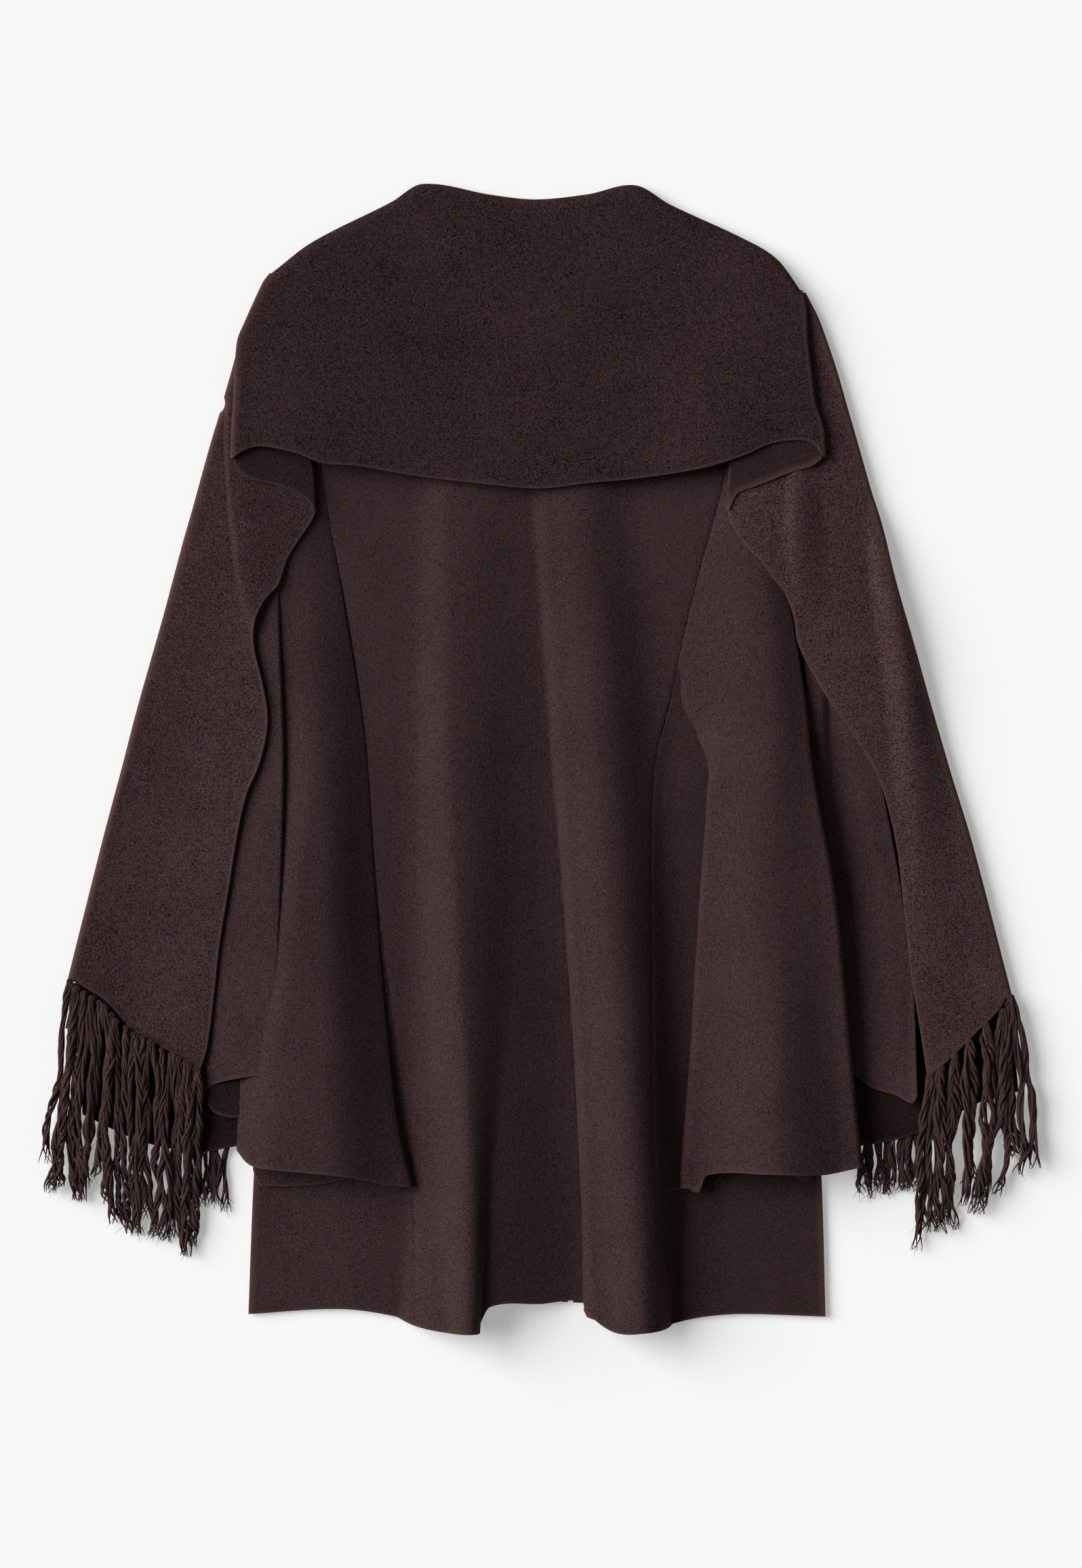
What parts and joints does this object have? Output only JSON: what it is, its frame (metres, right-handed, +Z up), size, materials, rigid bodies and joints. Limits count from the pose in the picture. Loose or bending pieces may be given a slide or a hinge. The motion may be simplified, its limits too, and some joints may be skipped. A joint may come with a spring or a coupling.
{
  "type": "cape with an attached fringed scarf, laid flat",
  "caption": "Wool cape with wide cape sleeves and a long scarf sewn on at the neck, folded over the back and ending in fringe, laid flat with its back upwards.",
  "frame": {"origin": "middle of the cape's outline, on the surface that it lies on", "axes": "+X to the picture's right, +Y towards the neck, +Z up from the surface; the back of the cape faces up"},
  "size_m": [0.7776, 0.8953, 0.031],
  "materials": {
    "felted_wool": "very dark plum-brown boiled wool, matt and slightly fuzzy, with mottled fibres",
    "fringe_yarn": "twisted wool yarn in the same dark plum-brown, with frayed ends"
  },
  "bodies": {
    "root": {"back_center": "felted_wool", "side_back_left": "felted_wool", "side_back_right": "felted_wool", "front_left": "felted_wool", "front_right": "felted_wool", "sleeve_front_left": "felted_wool", "sleeve_front_right": "felted_wool", "sleeve_back_left": "felted_wool", "sleeve_back_right": "felted_wool", "sleeve_inner_fold_left": "felted_wool", "sleeve_inner_fold_right": "felted_wool", "sleeve_outer_fold_left": "felted_wool", "sleeve_outer_fold_right": "felted_wool", "sleeve_under_fold_left": "felted_wool", "sleeve_under_fold_right": "felted_wool", "scarf_flap": "felted_wool", "scarf_loop_left": "felted_wool", "scarf_loop_right": "felted_wool", "scarf_end_left": "felted_wool", "scarf_end_right": "felted_wool", "scarf_front_left": "felted_wool", "scarf_front_right": "felted_wool", "fringe_left": "fringe_yarn", "fringe_right": "fringe_yarn", "fringe_front_left": "fringe_yarn", "fringe_front_right": "fringe_yarn"}
  },
  "joints": []
}
